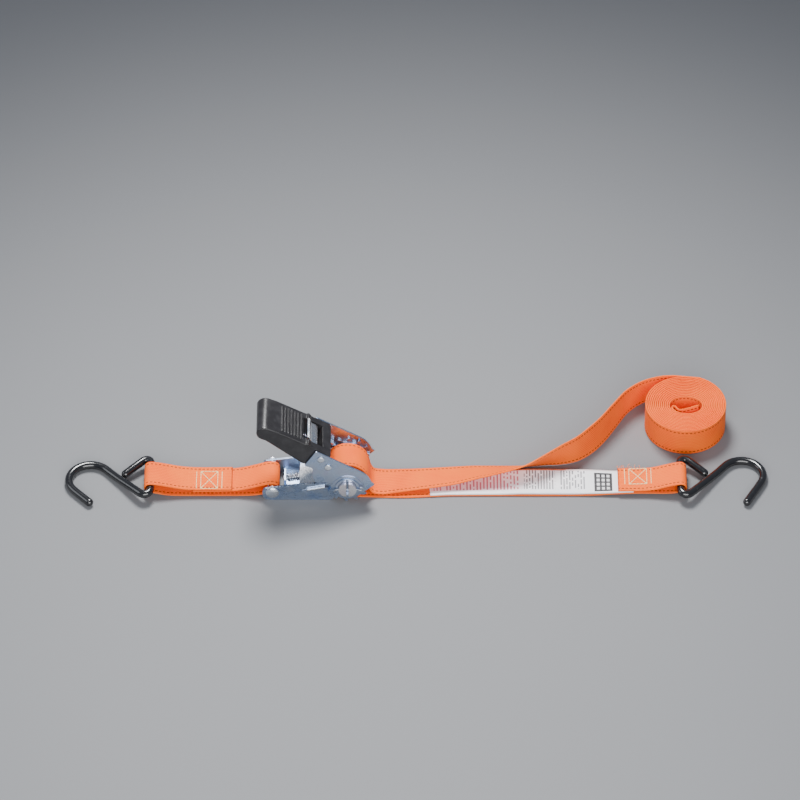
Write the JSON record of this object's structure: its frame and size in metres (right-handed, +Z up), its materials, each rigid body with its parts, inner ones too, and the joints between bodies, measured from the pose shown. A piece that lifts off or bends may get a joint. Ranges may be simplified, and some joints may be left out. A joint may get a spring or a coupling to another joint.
{
  "type": "ratchet strap",
  "caption": "Webbing tie-down strap with a ratchet buckle, a short fixed strap, a long strap with a sewn label and its spare length in a roll, and a coated S-hook at each end.",
  "frame": {"origin": "middle of the whole layout's footprint, on the flat surface it lies on", "axes": "+X along the strap from the short strap's hook to the long strap's hook, +Y to the side where the roll stands, +Z up from the surface"},
  "size_m": [0.5402, 0.1218, 0.0774],
  "materials": {
    "zinc": "bright zinc plate, slightly blue",
    "bright_steel": "bright zinc plate",
    "spring_steel": "plain drawn wire",
    "black_plastic": "moulded, satin",
    "black_vinyl": "thick glossy dipped coating",
    "orange_webbing": "woven polyester, orange with a dark tracer near each edge",
    "white_label": null
  },
  "bodies": {
    "frame": {"frame_channel": "zinc", "strap_pin": "bright_steel", "lock_spring": "spring_steel", "long_strap_run": "orange_webbing", "label": "white_label", "long_strap_tail": "orange_webbing", "strap_roll": "orange_webbing"},
    "lock_pawl": {"lock_pawl": "bright_steel"},
    "spool": {"spool_bar_left": "bright_steel", "spool_bar_right": "bright_steel", "ratchet_wheel_front": "zinc", "ratchet_wheel_rear": "zinc", "spool_washer_front": "zinc", "spool_washer_rear": "zinc", "cotter_pin_front": "spring_steel", "cotter_pin_rear": "spring_steel", "spool_wrap": "orange_webbing"},
    "handle": {"handle_plate_front": "zinc", "handle_plate_rear": "zinc", "handle_grip": "black_plastic", "handle_rivet_grip": "bright_steel", "handle_rivet_guide": "bright_steel", "release_spring": "spring_steel"},
    "release_pawl": {"release_pawl": "bright_steel"},
    "short_strap": {"short_strap": "orange_webbing"},
    "left_hook": {"left_hook": "black_vinyl"},
    "right_hook": {"right_hook": "black_vinyl"}
  },
  "joints": [
    {"name": "handle_swing", "type": "hinge", "parent": "frame", "child": "handle", "pos_m": [-0.05258, -0.03573, 0.0171], "axis": [0, 1, 0], "range_deg": [-30, 120]},
    {"name": "spool_turn", "type": "hinge", "parent": "frame", "child": "spool", "pos_m": [-0.05258, -0.03573, 0.0171], "axis": [0, 1, 0], "continuous": true},
    {"name": "lock_pawl_slide", "type": "slide", "parent": "frame", "child": "lock_pawl", "axis": [0.9781, 0, 0.2079], "range_m": [-0.0022, 0.0018], "stiffness_N_per_m": 300, "deforming": ["lock_spring"]},
    {"name": "release_pawl_slide", "type": "slide", "parent": "handle", "child": "release_pawl", "axis": [-0.832, 0, 0.5548], "range_m": [-0.0018, 0.003], "stiffness_N_per_m": 300, "deforming": ["release_spring"]},
    {"name": "short_strap_swing", "type": "hinge", "parent": "frame", "child": "short_strap", "pos_m": [-0.11028, -0.03573, 0.0083], "axis": [0, 1, 0], "range_deg": [0, 60]},
    {"name": "left_hook_swing", "type": "hinge", "parent": "short_strap", "child": "left_hook", "pos_m": [-0.20408, -0.03573, 0.0085], "axis": [0, 1, 0], "range_deg": [0, 75]},
    {"name": "right_hook_swing", "type": "hinge", "parent": "frame", "child": "right_hook", "pos_m": [0.20302, -0.03573, 0.0085], "axis": [0, -1, 0], "range_deg": [0, 75]}
  ]
}
